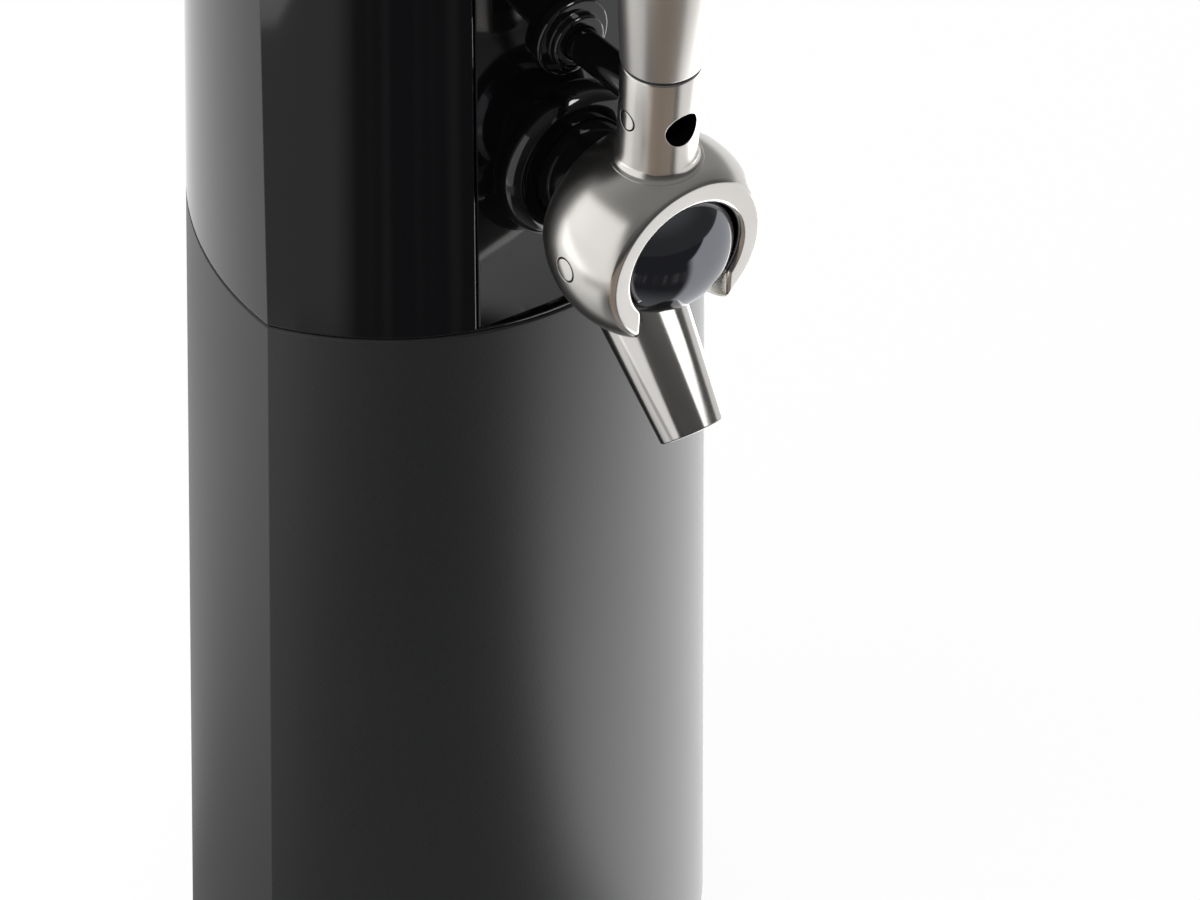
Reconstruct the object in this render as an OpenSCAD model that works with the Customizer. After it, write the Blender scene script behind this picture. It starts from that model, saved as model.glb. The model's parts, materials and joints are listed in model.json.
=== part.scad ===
// Portable beer foamer: a tower that takes a can, with a lift-off head that carries the pump and the tap.
// Origin on the chamber axis at floor level, +Z up, the tap faces -Y.

/* [Tower] */
// Width of the tower between its side creases
tower_width = 150; // [146:1:170]
// Depth from the chamber axis to the front of the tower
tower_front = 70.5; // [69:0.5:80]
// Depth from the chamber axis to the back of the tower
tower_back = 62; // [61:0.5:74]
// Radius of the front wall in plan
front_radius = 87.5; // [85:0.5:100]
// Radius of each side wall in plan
side_radius = 110; // [105:1:150]
// Radius of the back wall in plan
back_radius = 100; // [90:1:140]
// How far ahead of the chamber axis the side walls are widest
side_lead = 26.5; // [22:0.5:30]
// Thickness of the casing walls
wall = 3; // [2.4:0.1:3.4]
// Height of the seam between the lower housing and the head
seam_height = 260; // [230:1:320]
// Height of the head from the seam to the top of its cover
head_height = 165; // [150:1:200]
// How much the head's front wall leans in over its height
head_lean = 1.8; // [0:0.1:3]
// Chamfer on the outer edges of the casings
edge_chamfer = 0.6; // [0.3:0.1:1]
// Thickness of the top cover
cover_thickness = 9; // [6:0.5:12]
// Chamfer round the top of the cover
cover_chamfer = 2.5; // [1:0.5:4]

/* [Chamber] */
// Inner radius of the chamber that takes the can
chamber_radius = 46; // [40:0.5:46.5]
// Wall of the chamber sleeve
sleeve_wall = 2; // [1.5:0.1:2.5]
// Thickness of the rubber pad that the tower stands on
pad_height = 3; // [2:0.5:5]
// Thickness of the base plate
plate_thickness = 3; // [2:0.5:5]
// Height of the inner lips that the base plate and the rim are screwed to
lip_height = 4; // [3:0.5:6]
// Width of the inner lips
lip_width = 11; // [9:0.5:12]
// Thickness of the chamber rim
rim_thickness = 6; // [5:0.5:8]
// How far the rim lies below the edge of the housing
rim_drop = 1.5; // [1:0.1:3]
// Thickness of the cushion under the can
cushion_height = 8; // [4:0.5:12]
// Radial width of the chamber seal
seal_width = 3.4; // [2:0.1:3.6]

/* [Head] */
// Thickness of the deck that carries the inner parts of the head
deck_thickness = 5; // [4:0.5:7]
// Depth of the ring that centres the head in the chamber
plug_depth = 10; // [6:0.5:16]
// Half the width of the tap panel between its grooves
panel_half = 30.5; // [28:0.5:34]
// Radius of the tap panel in plan
panel_radius = 460; // [250:10:800]
// Width of the groove on each side of the tap panel
groove_width = 0.8; // [0.4:0.1:1.2]
// Height of the sill that runs under the tap panel
sill_height = 1.2; // [0.8:0.1:2]
// Half the width of the battery door
door_half = 28; // [24:0.5:30]
// Height of the battery door
door_height = 64; // [60:1:70]

/* [Tap] */
// Height of the lever's pivot above the seam
tap_rise = 45; // [42:0.5:55]
// Distance of the lever's pivot ahead of the tap panel
tap_reach = 38; // [36:0.5:49]
// Height of the shank's axis above the pivot
shank_rise = 2; // [0:0.5:3]
// Outer radius of the lever's ball
ball_radius = 30; // [29:0.5:32]
// Wall of the lever's ball
ball_wall = 6.8; // [6:0.1:7.5]
// Radius of the round opening in the face of the ball
face_bore = 18.6; // [17:0.1:19]
// Half the width of the slot under the ball
slot_half = 15; // [14.3:0.1:17]
// How far ahead of the pivot the open face of the ball lies
face_lead = 16; // [15:0.5:17]
// Radius of the opening behind the ball
rear_opening = 22.4; // [21:0.1:22.8]
// Radius of the black shank
shank_radius = 15; // [13:0.5:15.5]
// Radius of the flange on the panel
flange_radius = 23; // [18:0.5:25]
// Thickness of the flange on the panel
flange_thickness = 5.5; // [4:0.5:7]
// Tilt of the spout from the vertical
spout_tilt = 39.5; // [36:0.5:42]
// How far behind the pivot the spout's axis leaves the shank's axis
branch_setback = 29; // [28:0.5:31]
// Length of the spout's visible cone
spout_length = 42; // [36:0.5:46]
// Distance of the spout's tip from the shank's axis
spout_reach = 75; // [70:0.5:80]
// Radius of the spout at its tip
spout_tip = 9.5; // [9:0.1:10.5]
// Growth of the spout's radius for each millimetre from the tip
spout_taper = 0.085; // [0.05:0.005:0.1]
// Radius of the beer passage in the spout
spout_bore = 7; // [5:0.1:7.5]

/* [Lever] */
// Forward lean of the lever at rest
lever_lean = 4; // [0:0.5:5]
// Height of the push rod's pin above the pivot, along the lever
link_height = 44.5; // [43:0.5:50]
// Radius of the collar
collar_radius = 11.3; // [11:0.1:12.5]
// Fillet between the collar and the ball
collar_fillet = 3; // [2:0.5:3.5]
// Radius of the hole through the front of the collar
collar_hole = 5.3; // [4:0.1:6]
// How far the hole in the front of the collar lies below the push rod's pin
hole_drop = 0.9; // [0:0.1:1.5]
// Thickness of the dark ring under the handle
ring_thickness = 0.9; // [0.6:0.1:1.5]
// Radius of the handle at its lower end
handle_radius = 11.6; // [11:0.1:12.5]
// Growth of the handle's radius for each millimetre upwards
handle_taper = 0.072; // [0.03:0.005:0.08]
// Length of the tapered handle
handle_length = 76; // [60:1:100]
// Height of the cap's dome
cap_height = 9; // [5:0.5:12]
// Radius of the pivot pins
pivot_radius = 3.3; // [2.5:0.1:4]
// Radius of the link pin where it shows on the collar
pin_head_radius = 2.75; // [2.2:0.05:3]

/* [Rod] */
// Radius of the push rod
rod_radius = 5.1; // [4.5:0.1:5.3]
// Radius of the gland's base on the panel
gland_radius = 12; // [10:0.5:13]
// Thickness of the gland's base
gland_thickness = 2.5; // [2:0.5:5]
// Travel of the push rod each way from rest
rod_travel = 9.4; // [9.4:0.1:10]

/* [Clearances] */
// Gap beside fixed pieces that drop into each other
fit_gap = 0.1; // [0.05:0.05:0.15]
// Gap round a shaft that turns or slides in its hole
running_gap = 0.06; // [0.03:0.01:0.09]
// Gap between pieces that move past each other
moving_gap = 0.4; // [0.3:0.05:0.5]
// Open line between two casings
seam_gap = 0.3; // [0.3:0.05:0.5]

/* [Hidden] */
$fn = 96;
// Finer steps for the wide arcs of the casings
tower_facets = 240;
panel_facets = 960;
// Degrees in a full turn of a coil
full_turn = 360;
// Reach of a cut past the face that it opens
over = 1;

// Plan of the tower
front_centre = front_radius - tower_front;
side_centre = side_radius - tower_width / 2;
back_centre = tower_back - back_radius;
// Levels of the lower part
housing_bottom = pad_height - 1;
plate_top = pad_height + plate_thickness;
lip_top = plate_top + lip_height;
lower_top = seam_height - seam_gap / 2;
rim_top = lower_top - rim_drop;
rim_bottom = rim_top - rim_thickness;
shelf_bottom = rim_bottom - lip_height;
sleeve_radius = chamber_radius + sleeve_wall;
cushion_top = plate_top + cushion_height;
pad_inset = wall + 2;
// Ring on the base plate that the sleeve stands in
socket_wall = 2.5;
socket_height = 6;
socket_radius = sleeve_radius + fit_gap + socket_wall;
// Dished top of the cushion
cushion_gap = 0.5;
dish_depth = 2;
dish_floor = chamber_radius - 8;
dish_mouth = chamber_radius - 6;
// Levels of the head
head_bottom = seam_height + seam_gap / 2;
deck_top = head_bottom + deck_thickness;
panel_bottom = head_bottom + sill_height;
head_top = seam_height + head_height;
cover_bottom = head_top - cover_thickness;
skirt_depth = 5;
skirt_inset = wall + 2;
// Ring under the deck and the seal round it
plug_radius = chamber_radius - moving_gap - 0.2;
plug_wall = 3;
seal_radius = chamber_radius + 0.8;
// Screws, with heads twice as wide as their shafts
screw_radius = 1.5;
screw_head_radius = 2 * screw_radius;
screw_head_height = 1.8;
screw_recess = screw_head_height + 0.2;
screw_tip_gap = 0.5;
pad_screw_room = 1;
screw_inset = wall + lip_width / 2;
side_screw_y = -15.8;
// Tap panel, flush with the front wall at its two edges
panel_wall = 3;
panel_edge = front_centre - sqrt(pow(front_radius, 2) - pow(panel_half, 2));
panel_centre = panel_edge + sqrt(pow(panel_radius, 2) - pow(panel_half, 2));
panel_face = panel_centre - panel_radius;
panel_boss = 9;
panel_seat = panel_face + panel_boss;
boss_wall = 5;
panel_foot_depth = 16;
panel_foot_half = 22;
panel_foot_height = 4;
panel_screw_half = 15;
panel_screw_setback = 12;
// Tap, on the tower's middle plane
pivot_lead = tap_reach - panel_face;
tap_height = seam_height + tap_rise;
shank_height = tap_height + shank_rise;
ball_inner = ball_radius - ball_wall;
valve_gap = 0.7;
valve_radius = ball_inner - valve_gap;
flange_front = panel_face - flange_thickness;
flange_chamfer = 1.5;
shoulder_depth = 3;
shank_shoulder = flange_front + shoulder_depth;
shank_thread = 10;
nut_room = 10;
shank_end = panel_seat + nut_room;
shank_bore = 4;
nut_thickness = 6;
barb_radius = 3.2;
barb_length = 10;
socket_depth = 12;
branch_radius = 13.8;
branch_spigot = 9;
spigot_length = 9;
spigot_end_gap = 0.5;
seal_thickness = 1.2;
seal_lip = 1;
spout_edge = 0.6;
spout_edge_inset = 0.5;
spout_root = spout_tip + spout_taper * spout_length;
branch_origin = [0, branch_setback - pivot_lead, tap_height];
// Lever
rod_height = tap_height + link_height * cos(lever_lean);
link_lead = pivot_lead + link_height * sin(lever_lean);
link_radius = 1.5;
link_neck = 7;
rod_end_lead = 5;
// Slot in the back of the collar, tall enough for the rod at both ends of the lever's swing
rod_slot_half = rod_radius + 5.7;
rod_slot_front = 6.9;
slot_roof = 5.6;
collar_core = 3;
collar_top = link_height + rod_slot_half + slot_roof;
ring_inset = 0.2;
ring_top = collar_top + ring_thickness;
handle_top = ring_top + handle_length;
handle_end = handle_radius + handle_taper * handle_length;
stud_radius = 5;
stud_sink = 5;
stud_bottom = collar_top - stud_sink;
stud_reach = 25;
stud_top = ring_top + stud_reach;
handle_edge = 0.5;
handle_bore = 9;
cap_plug = 8;
pivot_depth = 14;
pivot_end_gap = 0.5;
// Slot in the rod for the link pin, which rises and falls as the lever swings
eye_half_width = link_radius + 0.45;
eye_half_height = link_radius + 2.1;
// Rod barrel behind the panel
barrel_radius = 12;
barrel_bore = 8.4;
barrel_wall = 3;
gland_stem = 7;
step_radius = 8.4;
step_thickness = 3;
spring_mean = 6.8;
spring_wire = 1;
spring_turns = 5;
spring_end_gap = 0.1;
stop_radius = 7.8;
stop_thickness = 3;
spring_solid = 6.5;
spring_space = rod_travel + spring_solid;
barrel_front = panel_seat;
stop_front = barrel_front + barrel_wall + spring_space;
stop_back = stop_front + stop_thickness;
barrel_back = stop_back + spring_space + barrel_wall;
stem_radius = 3;
flag_front = barrel_back + rod_travel + 1;
flag_half_height = 4;
flag_thickness = 1;
// Slotted sensor, clear of the rod's stem when the rod is pushed back
rail_drop = 10;
rail_thickness = 2;
sensor_half = 5;
sensor_slot = 1.3;
sensor_length = 8;
sensor_floor = 2;
sensor_front = flag_front + over + rod_travel + moving_gap;
sensor_back = sensor_front + sensor_length;
flag_back = sensor_back + 3;
// Beer path behind the panel
line_radius = 4.8;
line_bend = 22;
nipple_bore = 2.2;
nipple_flange = 8;
nipple_flange_height = 3;
nipple_reach = 12;
dip_clearance = 8;
transducer_radius = 12;
transducer_length = 8;
transducer_setback = 3;
// Pump on the deck
pump_side = 26;
pump_half = 13.5;
pump_front = 0;
pump_length = 20;
pump_level = deck_top + pump_half;
motor_radius = 12;
motor_length = 30;
crank_shaft = 1;
crank_grip = 9.5;
crank_gap = 2;
crank_disc = 5;
crank_throw = 1.3;
crank_length = 6;
crank_end_gap = 3;
crank_room = 9;
cradle_setback = 5;
cradle_top = pump_level - 5;
air_radius = 3.2;
air_bore = 2;
air_passage = 1;
air_straight = 5;
air_spigot = 4;
air_bend = 6;
air_place = [pump_side, pump_front + pump_length + air_straight + air_bend];
// Circuit board on posts
board_margin = 23;
board_low = [board_margin - tower_width / 2, -28];
board_size = [34, 48];
board_thickness = 1.6;
board_rise = 6;
board_post = 2.5;
board_inset = 4;
board_screw = 1;
chip_place = [12, 14];
chip_size = [9, 12, 3];
socket_place = [10, 36];
socket_size = [8, 9, 8];
can_place = [24, 34];
can_radius = 4;
can_height = 12;
// Batteries behind the rear door
cell_radius = 7.2;
cell_length = 49.3;
cell_nub = 1.2;
nub_radius = 2.75;
cell_pitch = 15.4;
contact_height = 2;
contact_half = 4;
contact_thickness = 0.8;
contact_button = 2.5;
holder_end = 2.5;
holder_side = 1.7;
holder_half = 2 * cell_pitch + holder_side;
holder_height = cell_length + cell_nub + 2 * contact_height + 2 * holder_end;
holder_depth = 15.5;
holder_rise = 26;
holder_bottom = deck_top + holder_rise;
holder_gap = 0.5;
holder_back = min(
    back_centre + sqrt(pow(back_radius - wall, 2) - pow(holder_half, 2)) - holder_gap,
    sqrt(pow(side_radius - wall, 2) - pow(holder_half + holder_gap + side_centre, 2)) - side_lead
);
holder_leg = 6;
leg_inset = 1;
cell_drop = 0.6;
cell_y = holder_back - cell_drop - cell_radius;
cell_z = holder_bottom + holder_end + contact_height;
door_margin = 2;
door_bottom = holder_bottom - door_margin;
door_top = door_bottom + door_height;
door_middle = (door_bottom + door_top) / 2;
door_rib_half = 20;
door_rib_rise = 3;
door_rib_gap = 0.3;
door_notch = 6;
door_notch_drop = 10;
// Head lock at the back
lock_setback = 5.5;
lock_line = tower_back - wall - lock_setback;
keeper_side = 6;
keeper_post = 4;
keeper_lip = 6;
keeper_half = 2;
keeper_mortise = 3;
bolt_height = 4.5;
lip_clear = 0.7;
keeper_lip_bottom = deck_top + moving_gap + bolt_height + lip_clear;
keeper_lip_height = 3.5;
bolt_left = -16;
bolt_right = -1.5;
bolt_half = 2.8;
lock_travel = 7;
stem_left = -14;
stem_right = -6;
thumb_middle = (stem_left + stem_right) / 2;
thumb_half = 11;
thumb_height = 9;
thumb_thickness = 3;
grip_pitch = 3;
grip_radius = 0.8;
// Lugs that hold the shell to the deck
lug_width = 8;
lug_height = 4;
lug_lead = 10;
lug_front = -side_lead - lug_lead;
lug_back = 14;
lug_levels = [side_screw_y, 8.7];
lug_inset = wall + lug_width / 2;

// Rules that place pieces on the tower

// How far the front wall has leaned in at a level
function lean_at(z) = head_lean * max(0, z - seam_height) / head_height;
// Half the width that an arc about a centre leaves at a depth y
function arc_half(radius, centre_y, y) = sqrt(max(0, pow(radius, 2) - pow(y - centre_y, 2)));
// Half the width of the tower's plan at a depth y
function half_width(y) = min(
    arc_half(side_radius, -side_lead, y) - side_centre,
    arc_half(front_radius, front_centre, y),
    arc_half(back_radius, back_centre, y)
);
// A place beside a side wall
function side_place(side, y, inset) = [side * (half_width(y) - inset), y];
// Four places on a lip: front, left, right and back
function lip_places(inset) = [
    [0, inset - tower_front],
    side_place(-1, side_screw_y, inset),
    side_place(1, side_screw_y, inset),
    [0, tower_back - inset]
];
lug_places = [for (side = [-1, 1], y = lug_levels) side_place(side, y, lug_inset)];
panel_screw_places = [for (side = [-1, 1]) [side * panel_screw_half, panel_face + panel_screw_setback]];
board_places = [
    for (i = [0, 1], j = [0, 1])
        [board_low[0] + board_inset + i * (board_size[0] - 2 * board_inset),
         board_low[1] + board_inset + j * (board_size[1] - 2 * board_inset)]
];
// Middle of each of the four cells across the holder
function cell_x(i) = (i - 1.5) * cell_pitch;
// Radius of the spout's cone at a distance from the tip
function spout_at(t) = spout_tip + spout_taper * t;

// Shapes that repeat

// A slice of the tower between two levels, drawn in by an inset at each level
module tower(z0, z1, inset0, inset1) {
    height = z1 - z0;
    $fn = tower_facets;
    translate([0, 0, z0]) intersection() {
        translate([0, front_centre, 0])
            cylinder(h = height, r1 = front_radius - lean_at(z0) - inset0,
                     r2 = front_radius - lean_at(z1) - inset1);
        translate([side_centre, -side_lead, 0])
            cylinder(h = height, r1 = side_radius - inset0, r2 = side_radius - inset1);
        translate([-side_centre, -side_lead, 0])
            cylinder(h = height, r1 = side_radius - inset0, r2 = side_radius - inset1);
        translate([0, back_centre, 0])
            cylinder(h = height, r1 = back_radius - inset0, r2 = back_radius - inset1);
    }
}
// Everything behind a face that follows the tap panel, set back by a depth
module behind_panel(z0, z1, depth) {
    translate([0, panel_centre, z0])
        cylinder(h = z1 - z0, r1 = panel_radius - lean_at(z0) - depth,
                 r2 = panel_radius - lean_at(z1) - depth, $fn = panel_facets);
}
// A round bar along Y
module bar_y(x, z, y0, y1, r) {
    translate([x, y0, z]) rotate([-90, 0, 0]) cylinder(h = y1 - y0, r = r);
}
// A round bar along X
module bar_x(y, z, x0, x1, r) {
    translate([x0, y, z]) rotate([0, 90, 0]) cylinder(h = x1 - x0, r = r);
}
// A box between two corners
module block(low, high) {
    translate(low) cube(high - low);
}
// A ring on the Z axis
module ring(r_out, r_in, z0, z1) {
    difference() {
        translate([0, 0, z0]) cylinder(h = z1 - z0, r = r_out);
        translate([0, 0, z0 - over]) cylinder(h = z1 - z0 + 2 * over, r = r_in);
    }
}
// A tube along Y
module tube_y(x, z, y0, y1, r_out, r_in) {
    difference() {
        bar_y(x, z, y0, y1, r_out);
        bar_y(x, z, y0 - over, y1 + over, r_in);
    }
}
// A quarter bend of tube from +Y up to +Z round a centre
module quarter_bend(centre, bend, r_out, r_in) {
    translate(centre) rotate([90, 0, 90]) rotate_extrude(angle = 90) translate([bend, 0]) difference() {
        circle(r = r_out);
        circle(r = r_in);
    }
}
// A pan-head screw that points down from the underside of its head
module screw_down(place, z, length, r = screw_radius) {
    translate([place[0], place[1], z]) {
        translate([0, 0, -length]) cylinder(h = length + over / 2, r = r);
        cylinder(h = screw_head_height, r = 2 * r);
    }
}
// The frame of the lever, at the pivot and leaning forward
module on_lever() {
    translate([0, -pivot_lead, tap_height]) rotate([lever_lean, 0, 0]) children();
}
// The frame of the spout, at its tip with the axis running back up to the shank
module on_spout() {
    translate(branch_origin) rotate([-spout_tilt, 0, 0]) translate([0, 0, -spout_reach]) children();
}
// Sections of a wire round a helix along Y
function coil_ring(a, y, r_mean, r_wire, sides) = [
    for (j = [0 : sides - 1])
        let (b = full_turn * j / sides)
        [(r_mean + r_wire * cos(b)) * cos(a), y + r_wire * sin(b), (r_mean + r_wire * cos(b)) * sin(a)]
];
// A coil spring along Y between two levels
module coil_y(z, y0, y1, r_mean, r_wire, turns) {
    sides = 6;
    steps = 24 * turns;
    rise = y1 - y0 - 2 * r_wire;
    points = [
        for (i = [0 : steps])
            let (share = i / steps)
            each coil_ring(full_turn * turns * share, y0 + r_wire + rise * share, r_mean, r_wire, sides)
    ];
    last = steps * sides;
    skin = [
        for (i = [0 : steps - 1], j = [0 : sides - 1])
            let (a = i * sides + j, b = i * sides + (j + 1) % sides)
            each [[a, a + sides, b], [b, a + sides, b + sides]]
    ];
    caps = [
        for (j = [1 : sides - 2])
            each [[0, j, j + 1], [last, last + j + 1, last + j]]
    ];
    translate([0, 0, z]) polyhedron(points = points, faces = concat(skin, caps));
}

// Lower part

module lower_housing() color("#45464a") difference() {
    union() {
        tower(housing_bottom, housing_bottom + edge_chamfer, edge_chamfer, 0);
        tower(housing_bottom + edge_chamfer, lower_top - edge_chamfer, 0, 0);
        tower(lower_top - edge_chamfer, lower_top, 0, edge_chamfer);
    }
    tower(housing_bottom - over, plate_top, wall, wall);
    tower(plate_top - over, lip_top + over, wall + lip_width, wall + lip_width);
    tower(lip_top, shelf_bottom, wall, wall);
    tower(shelf_bottom - over, rim_bottom + over, wall + lip_width, wall + lip_width);
    tower(rim_bottom, lower_top + over, wall, wall);
    translate([0, 0, plate_top - over])
        cylinder(h = rim_bottom - plate_top + 2 * over, r = socket_radius + fit_gap);
    for (place = lip_places(screw_inset)) {
        translate([place[0], place[1], plate_top - over])
            cylinder(h = lip_height + 2 * over, r = screw_radius);
        translate([place[0], place[1], shelf_bottom - over])
            cylinder(h = lip_height + 2 * over, r = screw_radius);
    }
}
module base_plate() color("#2b2c2e") difference() {
    union() {
        tower(pad_height, plate_top, wall + fit_gap, wall + fit_gap);
        ring(socket_radius, sleeve_radius + fit_gap, plate_top - over, plate_top + socket_height);
    }
    for (place = lip_places(screw_inset))
        translate([place[0], place[1], pad_height - over])
            cylinder(h = plate_thickness + 2 * over, r = screw_radius + fit_gap);
}
module base_pad() color("#1a1a1b") difference() {
    tower(0, pad_height, pad_inset, pad_inset);
    for (place = lip_places(screw_inset))
        translate([place[0], place[1], -over])
            cylinder(h = pad_height + 2 * over, r = screw_head_radius + pad_screw_room);
}
module base_screws() color("silver")
    for (place = lip_places(screw_inset))
        translate([place[0], place[1], pad_height]) mirror([0, 0, 1])
            screw_down([0, 0], 0, plate_thickness + lip_height - screw_tip_gap);
module chamber_sleeve() color("#d8d9da")
    ring(sleeve_radius, chamber_radius, plate_top, rim_bottom);
module can_cushion() color("#55585c") difference() {
    translate([0, 0, plate_top]) cylinder(h = cushion_height, r = chamber_radius - cushion_gap);
    translate([0, 0, cushion_top - dish_depth])
        cylinder(h = dish_depth + over, r1 = dish_floor, r2 = dish_mouth);
}
module chamber_rim() color("#2b2c2e") difference() {
    tower(rim_bottom, rim_top, wall + fit_gap, wall + fit_gap);
    translate([0, 0, rim_bottom - over]) cylinder(h = rim_thickness + 2 * over, r = chamber_radius);
    for (place = lip_places(screw_inset)) {
        translate([place[0], place[1], rim_bottom - over])
            cylinder(h = rim_thickness + 2 * over, r = screw_radius + fit_gap);
        translate([place[0], place[1], rim_top - screw_recess])
            cylinder(h = screw_recess + over, r = screw_head_radius + fit_gap);
    }
    keeper_stem(fit_gap, rim_top + over);
}
module rim_screws() color("silver")
    for (place = lip_places(screw_inset))
        screw_down(place, rim_top - screw_recess, rim_thickness - screw_recess + lip_height - screw_tip_gap);
// The keeper's post, from its mortise in the rim up to a level
module keeper_stem(gap, top) {
    block([keeper_side - gap, lock_line - keeper_half - gap, rim_top - keeper_mortise],
          [keeper_side + keeper_post + gap, lock_line + keeper_half + gap, top]);
}
module lock_keeper() color("silver") {
    keeper_stem(0, keeper_lip_bottom + keeper_lip_height);
    block([keeper_side - keeper_lip, lock_line - keeper_half, keeper_lip_bottom],
          [keeper_side + over, lock_line + keeper_half, keeper_lip_bottom + keeper_lip_height]);
}

// Head

module head_chassis() color("#2b2c2e") difference() {
    union() {
        intersection() {
            tower(head_bottom, deck_top, wall + fit_gap, wall + fit_gap);
            behind_panel(head_bottom - over, deck_top + over, panel_wall + fit_gap);
        }
        ring(plug_radius, plug_radius - plug_wall, head_bottom - plug_depth, head_bottom + over);
        for (place = board_places)
            translate([place[0], place[1], deck_top - over]) cylinder(h = board_rise + over, r = board_post);
        difference() {
            block([pump_side - pump_half, pump_front - motor_length + cradle_setback, deck_top - over],
                  [pump_side + pump_half, pump_front - cradle_setback, cradle_top]);
            bar_y(pump_side, pump_level, pump_front - motor_length, pump_front, motor_radius);
        }
    }
    translate([0, 0, head_bottom - over]) cylinder(h = deck_thickness + 2 * over, r = barb_radius + fit_gap);
    translate([air_place[0], air_place[1], head_bottom - over])
        cylinder(h = deck_thickness + 2 * over, r = air_bore);
    block([keeper_side - keeper_lip - moving_gap, lock_line - keeper_half - moving_gap, head_bottom - over],
          [keeper_side + keeper_post + moving_gap, lock_line + keeper_half + moving_gap, deck_top + over]);
    for (place = lug_places)
        translate([place[0], place[1], head_bottom - over])
            cylinder(h = deck_thickness + 2 * over, r = screw_radius + fit_gap);
    for (place = lug_places)
        translate([place[0], place[1], head_bottom - over])
            cylinder(h = over + screw_recess, r = screw_head_radius + fit_gap);
    for (place = panel_screw_places)
        translate([place[0], place[1], head_bottom + over]) cylinder(h = deck_thickness, r = screw_radius);
    for (place = board_places)
        translate([place[0], place[1], deck_top]) cylinder(h = board_rise + over, r = board_screw);
}
module chamber_seal() color("#c9c4b6")
    ring(seal_radius + seal_width, seal_radius, rim_top + moving_gap, head_bottom);
// The ledge under the tap panel, from the middle of the front wall back to the deck
module panel_sill() difference() {
    intersection() {
        tower(head_bottom, panel_bottom, wall / 2, wall / 2);
        block([-panel_half - groove_width / 2, -tower_front, head_bottom - over],
              [panel_half + groove_width / 2, -side_lead, panel_bottom + over]);
    }
    behind_panel(head_bottom - over, panel_bottom + over, panel_wall);
}
module head_shell() color("#121315") difference() {
    union() {
        difference() {
            union() {
                tower(head_bottom, head_bottom + edge_chamfer, edge_chamfer, 0);
                tower(head_bottom + edge_chamfer, cover_bottom, 0, 0);
            }
            tower(head_bottom - over, cover_bottom + over, wall, wall);
            block([-panel_half - groove_width / 2, -tower_front - over, panel_bottom],
                  [panel_half + groove_width / 2, -side_lead, cover_bottom + over]);
            block([-door_half - moving_gap, back_centre + back_radius / 2, door_bottom - moving_gap],
                  [door_half + moving_gap, tower_back + over, door_top + moving_gap]);
            block([stem_left - moving_gap, lock_line, deck_top - moving_gap],
                  [stem_right + lock_travel + moving_gap, tower_back + over,
                   deck_top + bolt_height + 2 * moving_gap]);
        }
        panel_sill();
        intersection() {
            difference() {
                tower(deck_top, deck_top + lug_height, wall - over, wall - over);
                tower(deck_top - over, deck_top + lug_height + over, wall + lug_width, wall + lug_width);
            }
            union() {
                for (side = [-1, 1])
                    translate([side * tower_width / 2, (lug_front + lug_back) / 2, deck_top])
                        cube([tower_width / 2, lug_back - lug_front, 4 * lug_height], center = true);
            }
        }
    }
    for (place = lug_places)
        translate([place[0], place[1], deck_top - over])
            cylinder(h = lug_height + 2 * over, r = screw_radius);
}
module tap_panel() color("#101113") difference() {
    union() {
        intersection() {
            difference() {
                behind_panel(head_bottom, cover_bottom, 0);
                behind_panel(head_bottom - over, cover_bottom + over, panel_wall);
            }
            block([groove_width / 2 - panel_half, -tower_front - over, panel_bottom + fit_gap],
                  [panel_half - groove_width / 2, -side_lead, cover_bottom + over]);
        }
        intersection() {
            behind_panel(head_bottom, cover_bottom, panel_wall / 2);
            union() {
                bar_y(0, shank_height, panel_face, panel_seat, shank_thread + boss_wall);
                bar_y(0, rod_height, panel_face, panel_seat, barrel_radius);
                block([-panel_foot_half, panel_face - over, deck_top],
                      [panel_foot_half, panel_face + panel_foot_depth, deck_top + panel_foot_height]);
            }
        }
    }
    bar_y(0, shank_height, panel_face - over, panel_seat + over, shank_thread + fit_gap);
    bar_y(0, rod_height, panel_face - over, panel_seat + over, gland_stem + fit_gap);
    for (place = panel_screw_places)
        translate([place[0], place[1], deck_top - over])
            cylinder(h = panel_foot_height + 2 * over, r = screw_radius + fit_gap);
}
module top_cover() color("#121315") union() {
    tower(cover_bottom, cover_bottom + edge_chamfer, edge_chamfer, 0);
    tower(cover_bottom + edge_chamfer, head_top - cover_chamfer, 0, 0);
    tower(head_top - cover_chamfer, head_top, 0, cover_chamfer);
    intersection() {
        difference() {
            tower(cover_bottom - skirt_depth, cover_bottom + over, wall + fit_gap, wall + fit_gap);
            tower(cover_bottom - skirt_depth - over, cover_bottom + 2 * over, skirt_inset, skirt_inset);
        }
        block([-tower_width, -side_lead, cover_bottom - skirt_depth - over],
              [tower_width, tower_back, cover_bottom + 2 * over]);
    }
}
module shell_screws() color("silver")
    for (place = lug_places)
        translate([place[0], place[1], head_bottom + screw_recess]) mirror([0, 0, 1])
            screw_down([0, 0], 0, deck_thickness - screw_recess + lug_height - screw_tip_gap);
module panel_screws() color("silver")
    for (place = panel_screw_places)
        screw_down(place, deck_top + panel_foot_height,
                   panel_foot_height + deck_thickness - over - screw_tip_gap);
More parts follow.
